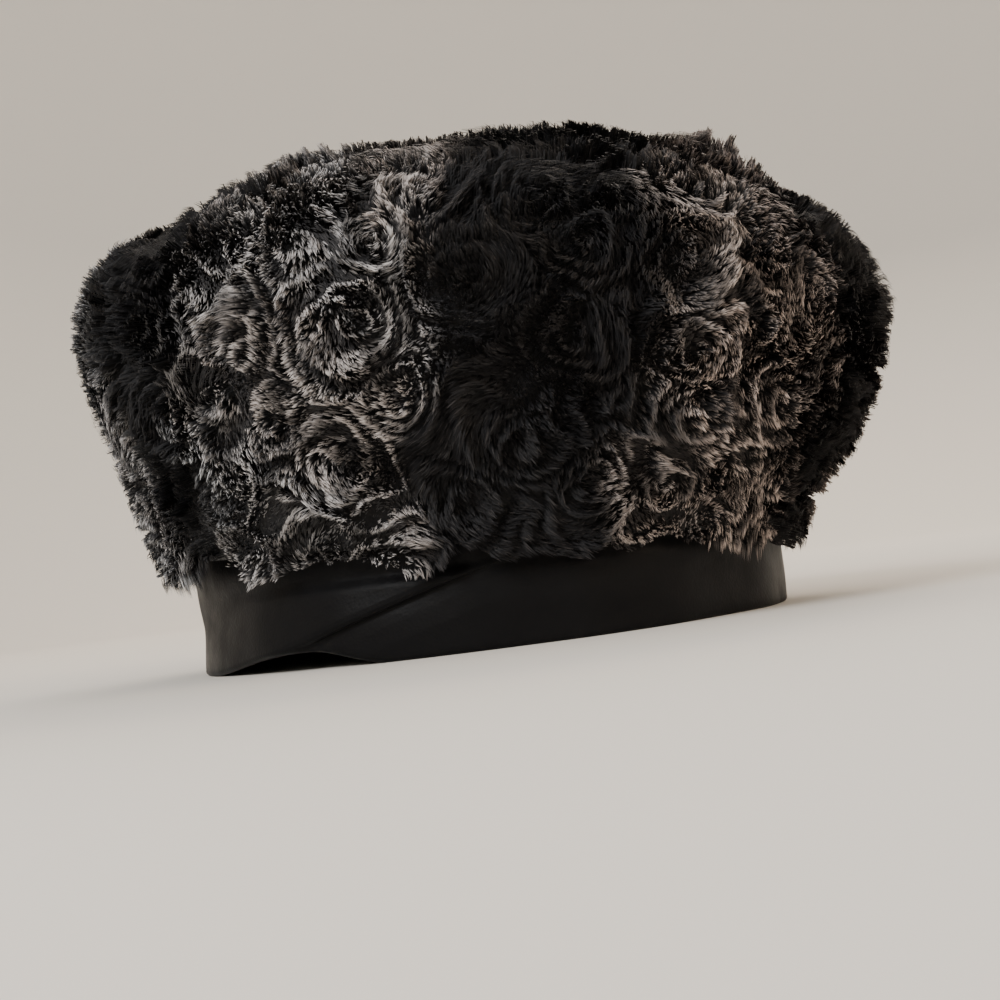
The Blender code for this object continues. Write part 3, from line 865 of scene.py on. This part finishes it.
def noise(tree, scale, detail=2.0):
    """Return a noise in the object's own coordinates."""
    place = tree.nodes.new("ShaderNodeTexCoord")
    node = tree.nodes.new("ShaderNodeTexNoise")
    node.inputs["Scale"].default_value = scale
    node.inputs["Detail"].default_value = detail
    tree.links.new(place.outputs["Object"], node.inputs["Vector"])
    return node.outputs["Fac"]


def cells(tree, scale):
    """Return the distance to the nearest of scattered points in the object's own coordinates."""
    place = tree.nodes.new("ShaderNodeTexCoord")
    node = tree.nodes.new("ShaderNodeTexVoronoi")
    node.inputs["Scale"].default_value = scale
    tree.links.new(place.outputs["Object"], node.inputs["Vector"])
    return node.outputs["Distance"]


def bump(tree, height, strength, distance, under=None):
    """Return the normal of a bump, on top of another one if given."""
    node = tree.nodes.new("ShaderNodeBump")
    node.inputs["Strength"].default_value = strength
    node.inputs["Distance"].default_value = distance
    tree.links.new(height, node.inputs["Height"])
    if under:
        tree.links.new(under, node.inputs["Normal"])
    return node.outputs["Normal"]


def fur_material(name):
    """Return a fur with dark roots and tips frosted grey, cool on one side and warm from painted warm
    light on the other.
    """
    material, tree, shader = new_material(name, roughness=0.65, specular=0.15)
    facts = tree.nodes.new("ShaderNodeAttribute")
    facts.attribute_name = "strand"
    split = tree.nodes.new("ShaderNodeSeparateXYZ")
    tree.links.new(facts.outputs["Vector"], split.inputs["Vector"])
    tone, tint, along = (split.outputs[axis] for axis in "XYZ")
    dark = colour_between(tree, between(tree, along, low=0.2, high=1.0), FUR_ROOT, FUR_DARK_TIP)
    # The frost's colour, warmed towards +X by painted warm light
    frost = colour_between(tree, tint, FUR_COOL_FROST, FUR_FROST_IN_PAINTED_WARM_LIGHT)
    cover = tree.nodes.new("ShaderNodeMath")
    cover.operation = "MULTIPLY"
    tree.links.new(tone, cover.inputs[0])
    tree.links.new(between(tree, along, low=0.5, high=0.8), cover.inputs[1])
    colour = colour_between(tree, cover.outputs["Value"], dark, frost)
    tree.links.new(colour, shader.inputs["Base Color"])
    return material


def backing_material(name):
    """Return a matt near black knit."""
    material, tree, shader = new_material(name, roughness=0.95, specular=0.2, sheen=0.15)
    colour = colour_between(tree, noise(tree, scale=260.0), KNIT_DARK, KNIT_LIGHT)
    tree.links.new(colour, shader.inputs["Base Color"])
    stitches = bump(tree, cells(tree, scale=700.0), strength=0.6, distance=0.6 * MM)
    tree.links.new(stitches, shader.inputs["Normal"])
    return material


def leather_material(name):
    """Return a satin black faux leather with a fine grain and faint scuffs."""
    material, tree, shader = new_material(name, roughness=0.45, specular=0.072)
    colour = colour_between(tree, noise(tree, scale=38.0, detail=4.0), LEATHER_DARK, LEATHER_LIGHT)
    tree.links.new(colour, shader.inputs["Base Color"])
    scuffs = noise(tree, scale=95.0, detail=5.0)
    roughness = between(tree, scuffs, low=0.3, high=0.7, to_low=0.36, to_high=0.5)
    tree.links.new(roughness, shader.inputs["Roughness"])
    pebbles = bump(tree, cells(tree, scale=1150.0), strength=0.12, distance=0.3 * MM)
    grain = noise(tree, scale=420.0, detail=3.0)
    creases = bump(tree, grain, strength=0.08, distance=0.6 * MM, under=pebbles)
    tree.links.new(creases, shader.inputs["Normal"])
    return material


def floor_material():
    """Return a plain pale surface."""
    material, tree, shader = new_material("pale_floor", roughness=0.9, specular=0.1)
    shader.inputs["Base Color"].default_value = PALE_FLOOR
    return material


# The stage, the lights and the camera

STAGE_RADIUS = 2.2
STAGE_CURVE = 0.9
STAGE_HEIGHT = 2.6
STAGE_INNER_RINGS = (0.02, 0.5)
STAGE_COLUMNS = 96
STAGE_TURNS = 24


def add_stage():
    """Add a round floor that curves up into a pale wall, open at the top."""
    columns = math.tau * np.arange(STAGE_COLUMNS) / STAGE_COLUMNS
    profile = [(radius, 0.0) for radius in (*STAGE_INNER_RINGS, STAGE_RADIUS - STAGE_CURVE)]
    for turn in np.linspace(0.0, 0.5 * math.pi, STAGE_TURNS)[1:]:
        profile.append((STAGE_RADIUS - STAGE_CURVE * (1.0 - math.sin(turn)),
                        STAGE_CURVE * (1.0 - math.cos(turn))))
    profile.append((STAGE_RADIUS, STAGE_HEIGHT))
    rings = [
        np.stack([r * np.cos(columns), r * np.sin(columns), np.full_like(columns, z)], axis=1)
        for r, z in profile
    ]
    floor = ring_mesh("floor", rings, False, floor_material(), caps=[(0.0, 0.0, 0.0)])


Light = namedtuple("Light", "name place size power colour")
LIGHTS = [
    Light(name="key", place=(-0.8, -1.2, 1.0), size=0.9, power=26.0, colour=(0.97, 0.985, 1.0)),
    Light(name="fill", place=(1.3, -0.7, 0.7), size=1.0, power=9.0, colour=(1.0, 0.79, 0.6)),
    Light(name="back", place=(0.3, 1.3, 1.2), size=1.0, power=19.0, colour=(1.0, 0.87, 0.74)),
]
LIGHTS_AIM = (0.0, 0.0, 0.08)
SKY_COLOUR = (1.0, 0.98, 0.95, 1.0)
SKY_STRENGTH = 0.65


def add_light(light):
    """Add a square soft light that shines at the hat."""
    data = bpy.data.lights.new(light.name, "AREA")
    data.size = light.size
    data.energy = light.power
    data.color = light.colour
    lamp = bpy.data.objects.new(light.name, data)
    lamp.location = light.place
    way = Vector(LIGHTS_AIM) - Vector(light.place)
    lamp.rotation_euler = way.to_track_quat("-Z", "Y").to_euler()
    bpy.context.scene.collection.objects.link(lamp)


def add_lights():
    """Add a soft key light from the upper left, a weak warm fill, a light from behind and an even sky."""
    for light in LIGHTS:
        add_light(light)
    world = bpy.data.worlds.new("sky")
    world.use_nodes = True
    background = world.node_tree.nodes["Background"]
    background.inputs["Color"].default_value = SKY_COLOUR
    background.inputs["Strength"].default_value = SKY_STRENGTH
    bpy.context.scene.world = world


PHOTO_SIZE = 1000.0
FOCAL_PIXELS = 1959.0
SENSOR_WIDTH = 36.0
CAMERA_DISTANCE = 0.62
CAMERA_ELEVATION = math.radians(2.0)
CAMERA_ROLL = math.radians(7.3)
RIM_CENTRE = Vector((-CROWN_OVERHANG_MM * MM, 0.0, 0.0))
RIM_CENTRE_PIXEL = (497.0, 636.0)


def add_camera():
    """Add the camera at the photo's angle, with the rim's centre where the photo has it."""
    data = bpy.data.cameras.new("camera")
    data.sensor_width = SENSOR_WIDTH
    data.lens = SENSOR_WIDTH * FOCAL_PIXELS / PHOTO_SIZE
    data.clip_start = 0.01
    camera = bpy.data.objects.new("camera", data)
    forward = Vector((0.0, math.cos(CAMERA_ELEVATION), -math.sin(CAMERA_ELEVATION)))
    level = Vector((1.0, 0.0, 0.0))
    upright = level.cross(forward)
    right = math.cos(CAMERA_ROLL) * level - math.sin(CAMERA_ROLL) * upright
    above = math.sin(CAMERA_ROLL) * level + math.cos(CAMERA_ROLL) * upright
    aside = (RIM_CENTRE_PIXEL[0] - 0.5 * PHOTO_SIZE) / FOCAL_PIXELS
    below = (RIM_CENTRE_PIXEL[1] - 0.5 * PHOTO_SIZE) / FOCAL_PIXELS
    aim = (forward - aside * right + below * above).normalized()
    right = (right - aim * right.dot(aim)).normalized()
    above = right.cross(aim)
    turn = Matrix((right, above, -aim)).transposed()
    camera.matrix_world = Matrix.Translation(RIM_CENTRE - CAMERA_DISTANCE * forward) @ turn.to_4x4()
    bpy.context.scene.collection.objects.link(camera)
    bpy.context.scene.camera = camera


# Everything together

def add_fur():
    """Add the pile in pieces by azimuth on the side and by half on the top, and return them."""
    side_material = fur_material("side_fur")
    top_material = fur_material("top_fur")
    side = make_strands(SIDE_STRANDS, FUR_START, SEAM_AT, SIDE_TUFTS, SEED + 1)
    top = make_strands(TOP_STRANDS, SEAM_AT, 1.0, TOP_TUFTS, SEED + 2)
    quarter = np.round(side.azimuth / (0.5 * math.pi)).astype(int) % 4
    pieces = []
    for index, name in enumerate(("front", "right", "back", "left")):
        pieces.append(strand_piece(f"side_fur_{name}", side, quarter == index, side_material))
        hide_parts("side_pile")
    front = np.cos(top.azimuth) > 0.0
    for name, chosen in (("front", front), ("back", ~front)):
        pieces.append(strand_piece(f"top_fur_{name}", top, chosen, top_material))
        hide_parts("top_pile")
    return pieces


def main():
    """Dress the hat and set its stage."""
    add_stage()
    add_lights()
    add_camera()
    fur = add_fur()
    side = side_backing(backing_material("side_backing"))
    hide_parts("crown_side")
    top = top_backing(backing_material("top_backing"))
    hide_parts("crown_top")
    band = band_piece(leather_material("faux_leather"))
    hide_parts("band")
    for piece in [*fur, side, top, band]:
        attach(piece, "root")


main()
